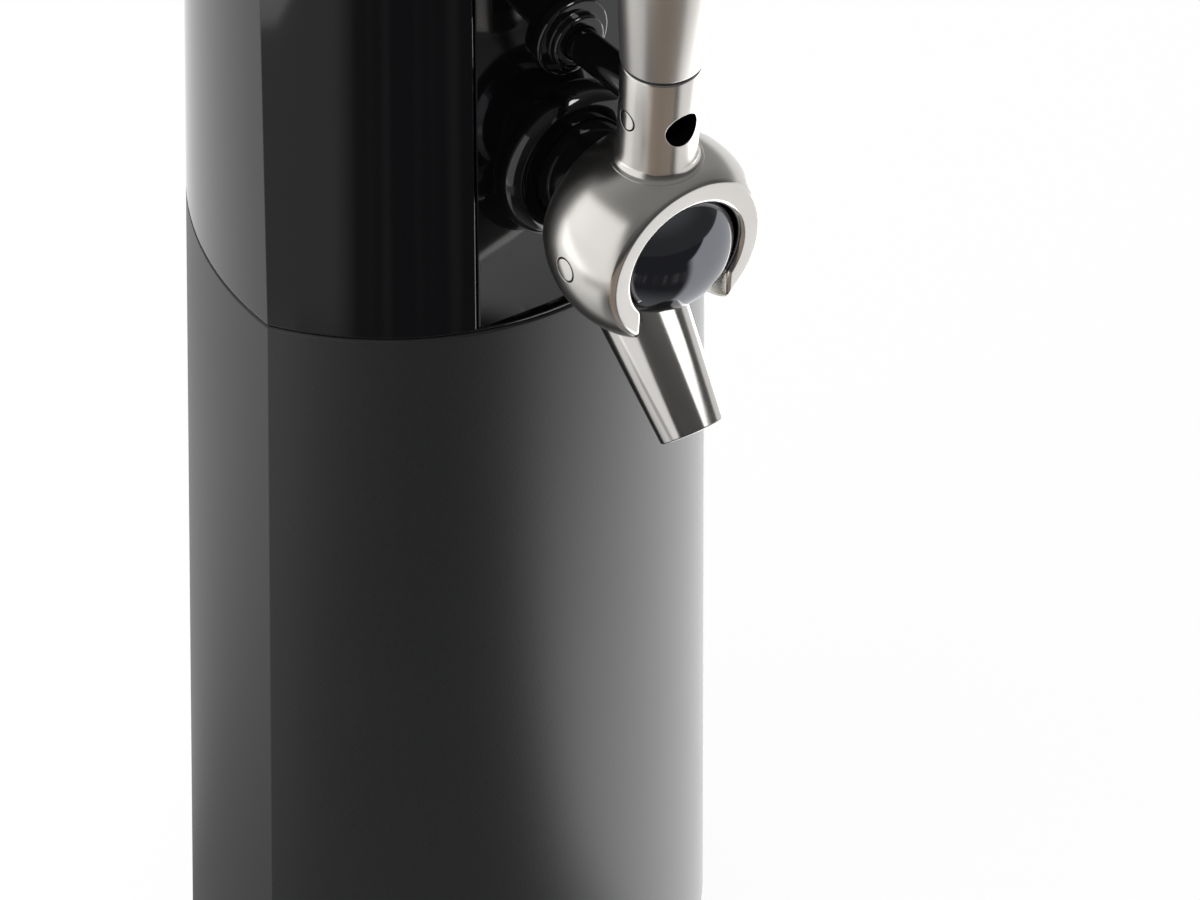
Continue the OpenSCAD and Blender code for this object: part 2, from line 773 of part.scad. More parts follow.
// A place on the underside of the board, from its front left corner
module on_board(place) {
    translate([board_low[0] + place[0], board_low[1] + place[1], deck_top + board_rise]) children();
}
module circuit_board() color("#1f5a3a") difference() {
    union() {
        on_board([0, 0]) cube([board_size[0], board_size[1], board_thickness]);
        on_board(chip_place) cube(chip_size);
        on_board(socket_place) cube(socket_size);
        on_board(can_place) cylinder(h = can_height, r = can_radius);
    }
    for (place = board_places)
        translate([place[0], place[1], deck_top]) cylinder(h = 2 * board_rise, r = board_screw + fit_gap);
}
module board_screws() color("silver")
    for (place = board_places)
        screw_down(place, deck_top + board_rise + board_thickness, board_rise, board_screw);
module battery_holder() color("#2b2c2e") difference() {
    union() {
        block([-holder_half, holder_back - holder_depth, holder_bottom],
              [holder_half, holder_back, holder_bottom + holder_height]);
        for (side = [-1, 1])
            translate([side * (holder_half - holder_leg / 2), holder_back - holder_depth / 2,
                       (deck_top + holder_bottom + over) / 2])
                cube([holder_leg, holder_depth - 2 * leg_inset, holder_bottom + over - deck_top],
                     center = true);
    }
    for (i = [0 : 3]) {
        translate([cell_x(i), cell_y, holder_bottom + holder_end])
            cylinder(h = holder_height - 2 * holder_end, r = cell_radius + fit_gap);
        block([cell_x(i) - cell_radius - fit_gap, cell_y, holder_bottom + holder_end],
              [cell_x(i) + cell_radius + fit_gap, holder_back + over,
               holder_bottom + holder_height - holder_end]);
    }
}
module batteries() color("#7a6a4a")
    for (i = [0 : 3])
        translate([cell_x(i), cell_y, cell_z]) {
            cylinder(h = cell_length, r = cell_radius);
            translate([0, 0, cell_length - over / 2]) cylinder(h = cell_nub + over / 2, r = nub_radius);
        }
module battery_contacts() color("silver")
    for (i = [0 : 3], end = [0, 1])
        translate([cell_x(i), cell_y, holder_bottom + holder_end + end * (holder_height - 2 * holder_end)])
            mirror([0, 0, end]) {
                translate([-contact_half, -contact_half, 0])
                    cube([2 * contact_half, 2 * contact_half, contact_thickness]);
                cylinder(h = contact_height, r = contact_button);
            }
module pump_housing() color("#e4e2dc") difference() {
    union() {
        block([pump_side - pump_half, pump_front, deck_top],
              [pump_side + pump_half, pump_front + pump_length, pump_level + pump_half]);
        bar_y(pump_side, pump_level, pump_front + pump_length - over, pump_front + pump_length + air_spigot,
              air_bore);
    }
    bar_y(pump_side, pump_level, pump_front - over, pump_front + crank_gap + crank_length + crank_end_gap,
          crank_room);
    bar_y(pump_side, pump_level, pump_front, pump_front + pump_length + 2 * air_straight, air_passage);
}
module pump_motor() color("#9b9da0") difference() {
    bar_y(pump_side, pump_level, pump_front - motor_length, pump_front, motor_radius);
    bar_y(pump_side, pump_level, pump_front - crank_grip - over, pump_front + over,
          crank_shaft + running_gap);
}
module pump_crank() color("#c7a65a") {
    bar_y(pump_side, pump_level, pump_front - crank_grip, pump_front + crank_gap + over, crank_shaft);
    bar_y(pump_side, pump_level + crank_throw, pump_front + crank_gap, pump_front + crank_gap + crank_length,
          crank_disc);
}
module air_line() color("#d9d4c4") {
    pump_back = pump_front + pump_length;
    tube_y(pump_side, pump_level, pump_back, pump_back + air_straight, air_radius, air_bore);
    quarter_bend([pump_side, pump_back + air_straight, pump_level - air_bend], air_bend, air_radius,
                 air_bore);
    translate([air_place[0], air_place[1], 0]) ring(air_radius, air_bore, deck_top, pump_level - air_bend);
}
module line_nipple() color("#e4e2dc") difference() {
    union() {
        translate([0, 0, head_bottom - nipple_reach])
            cylinder(h = 2 * nipple_reach + deck_thickness + nipple_flange_height, r = barb_radius);
        translate([0, 0, deck_top]) cylinder(h = nipple_flange_height, r = nipple_flange);
    }
    translate([0, 0, head_bottom - nipple_reach - over])
        cylinder(h = 3 * nipple_reach + deck_thickness + nipple_flange_height, r = nipple_bore);
}
module dip_tube() color("#d9d4c4")
    ring(line_radius, barb_radius, cushion_top + dip_clearance, head_bottom);
module beer_line() color("#d9d4c4") {
    ring(line_radius, barb_radius, deck_top + nipple_flange_height, shank_height - line_bend);
    quarter_bend([0, -line_bend, shank_height - line_bend], line_bend, line_radius, barb_radius);
    tube_y(0, shank_height, shank_end, -line_bend, line_radius, barb_radius);
}
module foam_transducer() color("#c7a65a") {
    front = shank_end + transducer_setback;
    tube_y(0, shank_height, front, front + transducer_length, transducer_radius, line_radius);
}

// Tap body

module shank_nut() color("#c7a65a") difference() {
    translate([0, panel_seat, shank_height]) rotate([-90, 0, 0])
        cylinder(h = nut_thickness, r = shank_thread + boss_wall, $fn = 6);
    bar_y(0, shank_height, panel_seat - over, panel_seat + nut_thickness + over, shank_thread);
}
module shank_flange() color("#0d0e10") difference() {
    union() {
        bar_y(0, shank_height, flange_front + flange_chamfer, panel_seat, flange_radius);
        translate([0, flange_front, shank_height]) rotate([-90, 0, 0])
            cylinder(h = flange_chamfer, r1 = flange_radius - flange_chamfer, r2 = flange_radius);
    }
    behind_panel(head_bottom, cover_bottom, 0);
    bar_y(0, shank_height, flange_front - over, panel_seat + over, shank_thread + fit_gap);
    bar_y(0, shank_height, flange_front - over, shank_shoulder, shank_radius + fit_gap);
}
module tap_shank() color("#0d0e10") difference() {
    union() {
        bar_y(0, shank_height, socket_depth - pivot_lead, shank_shoulder, shank_radius);
        bar_y(0, shank_height, shank_shoulder - over, shank_end, shank_thread);
        bar_y(0, shank_height, shank_end - over, shank_end + barb_length, barb_radius);
        intersection() {
            on_spout() translate([0, 0, spout_length + seal_thickness])
                cylinder(h = spout_reach - spout_length, r = branch_radius);
            block([-ball_radius, -2 * pivot_lead, 0], [ball_radius, flange_front - fit_gap, shank_height]);
        }
    }
    bar_y(0, shank_height, branch_setback - pivot_lead - over, shank_end + barb_length + over, nipple_bore);
    on_spout() translate([0, 0, spout_length])
        cylinder(h = seal_thickness + spigot_length + spigot_end_gap, r = branch_spigot);
    on_spout() translate([0, 0, spout_length]) cylinder(h = spout_reach - spout_length, r = shank_bore);
}
module valve_ball() color("#08090b") difference() {
    translate([0, -pivot_lead, tap_height]) sphere(r = valve_radius);
    bar_y(0, shank_height, socket_depth - pivot_lead, ball_radius - pivot_lead, shank_radius);
    on_spout() translate([0, 0, spout_length]) cylinder(h = spout_reach, r = branch_radius + fit_gap);
    on_spout() cylinder(h = spout_length + over, r1 = spout_at(0) + moving_gap,
                        r2 = spout_at(spout_length + over) + moving_gap);
    bar_x(-pivot_lead, tap_height, -ball_radius, -pivot_depth, pivot_radius + running_gap);
    bar_x(-pivot_lead, tap_height, pivot_depth, ball_radius, pivot_radius + running_gap);
}
module spout() color("#cfccc7") on_spout() difference() {
    union() {
        cylinder(h = spout_edge, r1 = spout_tip - spout_edge_inset, r2 = spout_at(spout_edge));
        translate([0, 0, spout_edge])
            cylinder(h = spout_length - spout_edge, r1 = spout_at(spout_edge), r2 = spout_root);
        translate([0, 0, spout_length - over])
            cylinder(h = spigot_length + seal_thickness + over, r = branch_spigot - fit_gap);
    }
    translate([0, 0, -over]) cylinder(h = spout_length + 2 * spigot_length, r = spout_bore);
}
module spout_seal() color("#1a1a1b") on_spout()
    ring(spout_root - seal_lip, branch_spigot, spout_length, spout_length + seal_thickness);

// Push rod and its barrel

module rod_gland() color("#0d0e10") difference() {
    union() {
        difference() {
            union() {
                bar_y(0, rod_height, panel_face - gland_thickness, panel_seat, gland_radius);
                bar_y(0, rod_height, panel_face - gland_thickness - step_thickness, panel_face, step_radius);
            }
            behind_panel(rod_height - 2 * gland_radius, rod_height + 2 * gland_radius, 0);
        }
        bar_y(0, rod_height, panel_face - over, barrel_front + barrel_wall, gland_stem);
    }
    bar_y(0, rod_height, panel_face - 2 * pivot_lead, barrel_front + barrel_wall + over,
          rod_radius + running_gap);
}
module rod_barrel() color("#2b2c2e") {
    difference() {
        union() {
            bar_y(0, rod_height, barrel_front, barrel_back, barrel_radius);
            block([-sensor_half, barrel_back - barrel_wall, rod_height - rail_drop - rail_thickness],
                  [sensor_half, sensor_back, rod_height - rail_drop]);
        }
        bar_y(0, rod_height, barrel_front - over, barrel_front + 2 * barrel_wall, gland_stem + fit_gap);
        bar_y(0, rod_height, barrel_front + barrel_wall, barrel_back - barrel_wall, barrel_bore);
        bar_y(0, rod_height, barrel_back - 2 * barrel_wall, barrel_back + over, stem_radius + running_gap);
    }
}
module rod_sensor() color("#17181a") difference() {
    block([-sensor_half, sensor_front, rod_height - rail_drop],
          [sensor_half, sensor_back, rod_height + flag_half_height + sensor_floor]);
    block([-sensor_slot, sensor_front - over, rod_height - flag_half_height - sensor_floor],
          [sensor_slot, sensor_back + over, rod_height + flag_half_height + sensor_floor + over]);
}
module front_spring() color("silver")
    coil_y(rod_height, barrel_front + barrel_wall + spring_end_gap, stop_front - spring_end_gap, spring_mean,
           spring_wire / 2, spring_turns);
module rear_spring() color("silver")
    coil_y(rod_height, stop_back + spring_end_gap, barrel_back - barrel_wall - spring_end_gap, spring_mean,
           spring_wire / 2, spring_turns);
module push_rod() color("#111214") difference() {
    union() {
        bar_y(0, rod_height, -link_lead - rod_end_lead, stop_front + over, rod_radius);
        bar_y(0, rod_height, stop_front, stop_back, stop_radius);
        bar_y(0, rod_height, stop_back - over, flag_front + over, stem_radius);
        block([-flag_thickness / 2, flag_front, rod_height - flag_half_height],
              [flag_thickness / 2, flag_back, rod_height + flag_half_height]);
    }
    translate([0, -link_lead, rod_height])
        cube([4 * rod_radius, 2 * eye_half_width, 2 * eye_half_height], center = true);
}

// Lever, modelled upright in its own frame

// The fillet between the collar and the ball
module collar_root() {
    centre_r = collar_radius + collar_fillet;
    centre_z = sqrt(pow(ball_radius + collar_fillet, 2) - pow(centre_r, 2));
    share = ball_radius / (ball_radius + collar_fillet);
    rotate_extrude() difference() {
        polygon([
            [collar_radius - collar_core, share * centre_z], [share * centre_r, share * centre_z],
            [centre_r, centre_z], [collar_radius - collar_core, centre_z]
        ]);
        translate([centre_r, centre_z]) circle(r = collar_fillet);
    }
}
module lever_yoke() color("#b9b5ae") on_lever() difference() {
    union() {
        sphere(r = ball_radius);
        cylinder(h = collar_top, r = collar_radius);
        collar_root();
    }
    sphere(r = ball_inner);
    block([-2 * ball_radius, -2 * ball_radius, -2 * ball_radius], [2 * ball_radius, -face_lead, ball_radius]);
    bar_y(0, 0, -2 * ball_radius, 0, face_bore);
    block([-slot_half, -2 * ball_radius, -2 * ball_radius], [slot_half, 2 * ball_radius, 0]);
    bar_y(0, 0, 0, 2 * ball_radius, rear_opening);
    bar_x(0, 0, -2 * ball_radius, 2 * ball_radius, pivot_radius);
    block([-rod_radius - moving_gap, -rod_slot_front, link_height - rod_slot_half],
          [rod_radius + moving_gap, 2 * collar_radius, link_height + rod_slot_half]);
    bar_y(0, link_height - hole_drop, -2 * collar_radius, 0, collar_hole);
    bar_x(0, link_height, -2 * collar_radius, 2 * collar_radius, link_radius);
    bar_x(0, link_height, -2 * collar_radius, -link_neck, pin_head_radius);
    bar_x(0, link_height, link_neck, 2 * collar_radius, pin_head_radius);
    translate([0, 0, stud_bottom]) cylinder(h = collar_top, r = stud_radius);
}
module pivot_pins() color("#a9a59e") on_lever() intersection() {
    union() {
        bar_x(0, 0, -2 * ball_radius, -pivot_depth - pivot_end_gap, pivot_radius);
        bar_x(0, 0, pivot_depth + pivot_end_gap, 2 * ball_radius, pivot_radius);
    }
    sphere(r = ball_radius);
}
module link_pin() color("#a9a59e") on_lever() intersection() {
    union() {
        bar_x(0, link_height, -2 * collar_radius, 2 * collar_radius, link_radius);
        bar_x(0, link_height, -2 * collar_radius, -link_neck, pin_head_radius);
        bar_x(0, link_height, link_neck, 2 * collar_radius, pin_head_radius);
    }
    cylinder(h = collar_top, r = collar_radius);
}
module handle_ring() color("#2a2826") on_lever()
    ring(collar_radius - ring_inset, stud_radius, collar_top, ring_top);
module handle_stud() color("silver") on_lever()
    translate([0, 0, stud_bottom]) cylinder(h = stud_top - stud_bottom, r = stud_radius);
module tap_handle() color("#c4c0b9") on_lever() difference() {
    union() {
        translate([0, 0, ring_top])
            cylinder(h = handle_edge, r1 = handle_radius - handle_edge, r2 = handle_radius);
        translate([0, 0, ring_top + handle_edge])
            cylinder(h = handle_length - handle_edge, r1 = handle_radius, r2 = handle_end);
    }
    translate([0, 0, ring_top - over]) cylinder(h = handle_length, r = stud_radius);
    translate([0, 0, stud_top]) cylinder(h = handle_length, r = handle_bore);
}
module handle_cap() color("#c4c0b9") on_lever() {
    dome = (pow(handle_end, 2) + pow(cap_height, 2)) / (2 * cap_height);
    intersection() {
        translate([0, 0, handle_top + cap_height - dome]) sphere(r = dome);
        translate([0, 0, handle_top]) cylinder(h = 2 * cap_height, r = handle_end);
    }
    translate([0, 0, handle_top - cap_plug]) cylinder(h = cap_plug + over, r = handle_bore - fit_gap);
}

// Pieces at the back

module lock_slider() color("#2b2c2e") {
    bolt_low = deck_top + moving_gap;
    bolt_top = bolt_low + bolt_height;
    block([bolt_left, lock_line - bolt_half, bolt_low], [bolt_right, lock_line + bolt_half, bolt_top]);
    block([stem_left, lock_line, bolt_low], [stem_right, tower_back + moving_gap + over, bolt_top]);
    difference() {
        translate([thumb_middle, tower_back + moving_gap + thumb_thickness / 2,
                   (bolt_low + bolt_top) / 2])
            cube([2 * thumb_half, thumb_thickness, thumb_height], center = true);
        for (i = [-2 : 2])
            translate([thumb_middle + grip_pitch * i, tower_back + moving_gap + thumb_thickness,
                       bolt_low - thumb_height])
                cylinder(h = 3 * thumb_height, r = grip_radius);
    }
}
module battery_door() color("#121315") difference() {
    union() {
        intersection() {
            difference() {
                tower(door_bottom, door_top, 0, 0);
                tower(door_bottom - over, door_top + over, wall, wall);
            }
            block([-door_half, back_centre + back_radius / 2, door_bottom],
                  [door_half, tower_back + over, door_top]);
        }
        block([-door_rib_half, holder_back + door_rib_gap, door_middle - door_rib_rise],
              [door_rib_half, back_centre + sqrt(pow(back_radius - wall / 2, 2) - pow(door_rib_half, 2)),
               door_middle + door_rib_rise]);
    }
    bar_y(0, door_top - door_notch_drop, tower_back - wall / 2, tower_back + over, door_notch);
}

lower_housing();
base_plate();
base_pad();
base_screws();
chamber_sleeve();
can_cushion();
chamber_rim();
rim_screws();
lock_keeper();
head_chassis();
chamber_seal();
head_shell();
tap_panel();
top_cover();
shell_screws();
panel_screws();
circuit_board();
board_screws();
battery_holder();
batteries();
battery_contacts();
pump_housing();
pump_motor();
pump_crank();
air_line();
line_nipple();
dip_tube();
beer_line();
foam_transducer();
shank_nut();
shank_flange();
tap_shank();
valve_ball();
spout();
spout_seal();
rod_gland();
rod_barrel();
rod_sensor();
front_spring();
rear_spring();
push_rod();
lever_yoke();
pivot_pins();
link_pin();
handle_ring();
handle_stud();
tap_handle();
handle_cap();
lock_slider();
battery_door();
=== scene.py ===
# %% [markdown]
# # A portable beer foamer, dressed in Blender
# The object is a small beer tower for the table: a charcoal housing that takes a can, a gloss black head
# that lifts off it, and a steel lever tap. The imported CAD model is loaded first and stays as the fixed
# frame. The casings keep their CAD shape and get a finish. The turned and polished pieces of the tap are
# modelled again here with the rounded edges of the real ones.

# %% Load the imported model
import json
from math import acos, asin, atan2, cos, hypot, pi, radians, sin, sqrt, tan

import bpy
from mathutils import Matrix, Vector


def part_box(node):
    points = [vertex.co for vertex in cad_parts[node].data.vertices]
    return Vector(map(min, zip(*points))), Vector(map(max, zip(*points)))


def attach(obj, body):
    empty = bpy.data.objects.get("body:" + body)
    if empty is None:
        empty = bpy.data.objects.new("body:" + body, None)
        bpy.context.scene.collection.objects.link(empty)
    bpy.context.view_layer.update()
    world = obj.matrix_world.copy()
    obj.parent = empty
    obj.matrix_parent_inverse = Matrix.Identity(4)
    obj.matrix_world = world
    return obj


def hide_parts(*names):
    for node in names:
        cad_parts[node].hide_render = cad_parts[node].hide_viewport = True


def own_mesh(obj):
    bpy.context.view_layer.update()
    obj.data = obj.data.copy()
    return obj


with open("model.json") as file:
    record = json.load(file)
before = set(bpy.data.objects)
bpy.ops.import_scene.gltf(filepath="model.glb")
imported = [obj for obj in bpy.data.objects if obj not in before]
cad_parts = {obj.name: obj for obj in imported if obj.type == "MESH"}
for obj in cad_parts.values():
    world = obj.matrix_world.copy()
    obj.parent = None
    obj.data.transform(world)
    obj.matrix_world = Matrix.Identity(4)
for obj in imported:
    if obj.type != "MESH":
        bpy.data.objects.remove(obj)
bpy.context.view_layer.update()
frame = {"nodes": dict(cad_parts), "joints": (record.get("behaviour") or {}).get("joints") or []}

MM = 0.001
nodes = frame["nodes"]

# %% [markdown]
# ## The camera
# The picture was taken with a long lens from the tower's left front, looking down. A camera could be turned
# by hand until it looks right, but here its axes follow from two angles and the size of a pixel, so the
# view can be set again at any time.

# %% Camera
view_turn, view_rise = radians(37), radians(37.5)
picture_width, pixel = 1200, 0.275 * MM
view_right = Vector((cos(view_turn), -sin(view_turn), 0))
view_up = Vector((sin(view_turn) * sin(view_rise), cos(view_turn) * sin(view_rise), cos(view_rise)))
to_camera = view_right.cross(view_up)
seam_middle = Vector((0, 17, 260)) * MM
seam_left, seam_rise, aim_lead = 213, 302.7, 55 * MM
aim = seam_middle + (view_right * seam_left - view_up * seam_rise) * pixel + to_camera * aim_lead
camera_distance = 9
bpy.ops.object.camera_add(location=aim + to_camera * camera_distance)
camera = bpy.context.object
camera.rotation_euler = Matrix((view_right, view_up, to_camera)).transposed().to_euler()
camera.data.lens = camera.data.sensor_width * camera_distance / (picture_width * pixel)
bpy.context.scene.camera = camera
bpy.context.scene.view_settings.view_transform = "Standard"
print("camera at", [round(v, 3) for v in camera.location], "lens", round(camera.data.lens, 1))

# %% [markdown]
# ## Shader maths
# A finish is a small graph of nodes. Adding the nodes one by one is long to read, so one class wraps a
# socket: Python's own operators then add Math nodes, and one method adds any other node.


# %% A wire between shader nodes
class Wire:
    """An output socket in a node tree, with the operators that the finishes use."""

    def __init__(self, tree, socket=None):
        self.tree, self.socket = tree, socket

    def add(self, kind, settings=None, sockets=None, out=0):
        """Adds a node by its type, its settings and the values or links of its sockets."""
        node = self.tree.nodes.new(kind)
        for name, value in (settings or {}).items():
            setattr(node, name, value)
        for name, value in (sockets or {}).items():
            if isinstance(value, Wire):
                self.tree.links.new(value.socket, node.inputs[name])
            else:
                node.inputs[name].default_value = value
        return Wire(self.tree, node.outputs[out])

    def output(self, name):
        """Another output of the same node."""
        return Wire(self.tree, self.socket.node.outputs[name])

    def math(self, operation, first, second):
        return self.add("ShaderNodeMath", {"operation": operation}, {0: first, 1: second})

    def __add__(self, other):
        return self.math("ADD", self, other)

    def __sub__(self, other):
        return self.math("SUBTRACT", self, other)

    def __rsub__(self, other):
        return self.math("SUBTRACT", other, self)

    def __mul__(self, other):
        return self.math("MULTIPLY", self, other)

    __radd__ = __add__
    __rmul__ = __mul__

    def between(self, low, high):
        """0 below low, 1 above high and smooth between them."""
        return self.add("ShaderNodeMapRange", {"interpolation_type": "SMOOTHSTEP"},
                        {"Value": self, "From Min": low, "From Max": high}, out="Result")

    def blend(self, low, high):
        """A colour between two others, by this value."""
        return self.add("ShaderNodeMix", {"data_type": "RGBA"}, {0: self, 6: low, 7: high}, out=2)


print("wires ready")

# %% [markdown]
# ## Floor and world
# The object stands on a plain pale floor. The camera sees the floor and the world as white, through the
# Light Path node, while the light that falls on matte surfaces stays at a plain level. Polished surfaces
# mirror the white floor too, but with the dark front part of the studio on it, a grey one at its left and a
# dim room above, because gloss black and steel look like themselves only when they have something dark to
# mirror. A share of the floor is ordinary matte paint, so the object's shadow stays on it.

# %% World
world = bpy.data.worlds.new("studio")
bpy.context.scene.world = world
world.use_nodes = True
backdrop = world.node_tree.nodes["Background"]
world_wire = Wire(world.node_tree)
look = world_wire.add("ShaderNodeTexCoord", out="Generated")


def along(wire, direction, source):
    """How far a direction goes along another one."""
    return wire.add("ShaderNodeVectorMath", {"operation": "DOT_PRODUCT"},
                    {0: source, 1: Vector(direction).normalized()}, out="Value")


def lights_path(wire, output):
    return wire.add("ShaderNodeLightPath", out=output)


behind = along(world_wire, (0.3, 0.95, 0), look).between(-0.2, 0.6)
overhead = along(world_wire, (0, 0, 1), look).between(0.3, 0.9)
mirrored = 0.1 + 0.25 * behind + 0.15 * overhead
camera_sees = lights_path(world_wire, "Is Camera Ray")
glossy_sees = lights_path(world_wire, "Is Glossy Ray")
glass_sees = lights_path(world_wire, "Is Transmission Ray")
seen = camera_sees + glass_sees
ambient = 0.55
strength = ambient * (1 - seen - glossy_sees) + seen + glossy_sees * mirrored
world.node_tree.links.new(strength.socket, backdrop.inputs["Strength"])
backdrop.inputs["Color"].default_value = (1, 1, 1, 1)
print("world ready")

# %% Floor


def deselect():
    """Leaves edit mode and clears the selection, because an operator acts on all that is selected."""
    if bpy.context.object and bpy.context.object.mode != "OBJECT":
        bpy.ops.object.mode_set(mode="OBJECT")
    bpy.ops.object.select_all(action="DESELECT")


deselect()
bpy.ops.mesh.primitive_plane_add(size=120)
floor = bpy.context.object
floor.name = "studio_floor"
print("floor", tuple(round(v) for v in floor.dimensions))

# %% What polished surfaces mirror of the floor
floor_paint = bpy.data.materials.new("floor_paint")
floor_paint.use_nodes = True
floor_tree = floor_paint.node_tree
floor_tree.nodes.remove(floor_tree.nodes["Principled BSDF"])
floor_wire = Wire(floor_tree)
spot = floor_wire.add("ShaderNodeTexCoord", out="Object")
outward = floor_wire.add("ShaderNodeVectorMath", {"operation": "NORMALIZE"}, {0: spot})
reach = floor_wire.add("ShaderNodeVectorMath", {"operation": "LENGTH"}, {0: spot}, out="Value")
front_sector = along(floor_wire, (-0.5, -0.866, 0), outward).between(0.66, 0.8)
beyond_edge = along(floor_wire, (-0.776, -0.63, 0), spot).between(0.46, 0.56)
head_ring = reach.between(0.38, 0.46) * (1 - reach.between(0.6, 0.68))
left_grey = along(floor_wire, (-0.966, -0.259, 0), outward).between(0.89, 0.955) * head_ring
front_floor = floor_wire.math("MAXIMUM", floor_wire.math("MAXIMUM", front_sector, beyond_edge), left_grey)
axes = floor_wire.add("ShaderNodeSeparateXYZ", None, {0: outward})
bearing = floor_wire.math("ARCTAN2", axes.output("X"), axes.output("Y"))
bands = floor_wire.add("ShaderNodeTexNoise", {"noise_dimensions": "1D"},
                       {"W": bearing, "Scale": 6, "Detail": 1}, out="Fac")
streaks = bands.between(0.42, 0.66) * head_ring
front_foot = (1 - reach.between(0.1, 0.34)).blend((0.06, 0.06, 0.065, 1), (0.26, 0.26, 0.26, 1))
dark_floor = left_grey.blend(streaks.blend(front_foot, (0.15, 0.14, 0.135, 1)), (0.48, 0.48, 0.49, 1))
# Painted shadow: on the left of the tower, the floor that polished surfaces mirror is darkened near its
# foot.
on_left = along(floor_wire, (-1, 0, 0), outward).between(0.2, 0.7)
painted_foot_shadow = (on_left * (1 - reach.between(0.08, 0.36))).blend((1, 1, 1, 1), (0.45, 0.45, 0.45, 1))
floor_mirrored = front_floor.blend(painted_foot_shadow, dark_floor)
print("mirrored floor", len(floor_tree.nodes), "nodes")

# %% Floor paint
camera_white, camera_glow = 0.86, 0.08
floor_camera = lights_path(floor_wire, "Is Camera Ray") + lights_path(floor_wire, "Is Transmission Ray")
floor_glossy = lights_path(floor_wire, "Is Glossy Ray")
matte = floor_wire.add("ShaderNodeBsdfDiffuse", None, {"Color": (0.8, 0.8, 0.8, 1)})
floor_colour = floor_glossy.blend((1, 1, 1, 1), floor_mirrored)
glow = floor_wire.add("ShaderNodeEmission", None,
                      {"Color": floor_colour, "Strength": 1 + camera_glow * floor_camera})
white_share = camera_white * floor_camera + floor_glossy
floor_mix = floor_wire.add("ShaderNodeMixShader", None, {0: white_share, 1: matte, 2: glow})
floor_tree.links.new(floor_mix.socket, floor_tree.nodes["Material Output"].inputs["Surface"])
floor.data.materials.append(floor_paint)
print("floor painted")

# %% [markdown]
# ## Lamps
# Large soft boxes give the broad highlights of a product picture. One stands on the left of the tower, and
# one lies on the floor at its right and brightens that edge of the housing. A small one high in front puts
# points of light on the black rims of the tap. Two more shine on the steel alone: the spout's box makes its
# white streak, and a warm one on the floor in front lifts the dark middle of the collar and the handle.

# %% Lamps
tap_middle = Vector((0, -104, 305)) * MM


def soft_box(name, place, target, size, power, tint=(1, 1, 1)):
    deselect()
    bpy.ops.object.light_add(type="AREA", location=place)
    lamp = bpy.context.object
    lamp.name = name
    lamp.rotation_euler = (Vector(target) - lamp.location).to_track_quat("-Z", "Y").to_euler()
    lamp.data.shape = "RECTANGLE"
    lamp.data.size, lamp.data.size_y = size
    lamp.data.energy = power
    lamp.data.color = tint
    lamp.visible_camera = False
    print(name, "power", power)
    return lamp


soft_box("left_box", (-0.5, 0.1, 0.37), (0, 0.1, 0.33), (0.8, 0.68), 1.9)
right_lamp = soft_box("right_floor_box", (0.4, -0.02, 0.0015), (0.4, -0.02, 1), (0.7, 0.52), 2.3)
top_lamp = soft_box("top_box", (0.53, -0.75, 1.49), tap_middle, (0.4, 0.4), 8)
spout_lamp = soft_box("spout_box", tap_middle + Vector((0.29, -0.43, 0.25)), tap_middle, (0.42, 0.3), 1)
warm_lamp = soft_box("warm_floor_box", (-0.33, -0.55, 0.003), (-0.33, -0.55, 1), (0.7, 0.7), 0.35,
                     (1, 0.78, 0.6))

# %% [markdown]
# ## Finishes
# Each finish is one material. It reads Object coordinates in metres, so a grain has its true size: a scale
# of 2500 makes spots of 0.4 mm. The Bevel node rounds the light on the small edges that stay sharp in the
# mesh.

# %% Helpers for finishes


def new_finish(name, **sockets):
    """A material with the fixed values of its shader, and a wire to build on."""
    material = bpy.data.materials.new(name)
    material.use_nodes = True
    shader = material.node_tree.nodes["Principled BSDF"]
    for socket, value in sockets.items():
        shader.inputs[socket.replace("_", " ")].default_value = value
    wire = Wire(material.node_tree)
    return material, wire, wire.add("ShaderNodeTexCoord", out="Object")


def feed(material, **sockets):
    """Links wires to the sockets of the material's shader."""
    shader = material.node_tree.nodes["Principled BSDF"]
    for socket, wire in sockets.items():
        material.node_tree.links.new(wire.socket, shader.inputs[socket.replace("_", " ")])


def grain(wire, place, scale):
    return wire.add("ShaderNodeTexNoise", None, {"Vector": place, "Scale": scale, "Detail": 2}, out="Fac")


def relief(wire, height, depth, edge=0.0004):
    """A bump of a depth in metres, over edges that are rounded by the light unless edge is 0."""
    sockets = {"Height": height, "Distance": depth}
    if edge:
        sockets["Normal"] = wire.add("ShaderNodeBevel", {"samples": 6}, {"Radius": edge})
    return wire.add("ShaderNodeBump", None, sockets)


def tone(red, green, blue):
    return (red, green, blue, 1)


finishes = {}
print("helpers ready")

# %% [markdown]
# ### Charcoal housing
# The lower casing is moulded plastic with a satin skin. A fine speckle in the colour, the roughness and the
# relief keeps it from looking like flat paint.

# %% Charcoal
charcoal, wire, place = new_finish("charcoal_satin")
speckle = grain(wire, place, 2600)
cloud = grain(wire, place, 14)
feed(charcoal,
     Base_Color=(speckle.between(0.35, 0.7) * 0.7 + cloud * 0.3).blend(
         tone(0.0135, 0.0138, 0.0148), tone(0.022, 0.0225, 0.0238)),
     Roughness=0.37 + 0.1 * speckle + 0.04 * cloud,
     Normal=relief(wire, speckle, 0.00003, 0.0006))
finishes["charcoal_shell"] = charcoal
print("charcoal housing")

# %% [markdown]
# ### Gloss black head
# The head is polished black plastic. It mirrors the studio, and the faint waviness of a moulded wall and a
# few dull spots of dust break the mirror. The valve's ball is brighter than that, as black chrome is, so it
# is a metal with a dark grey colour.

# %% Gloss black


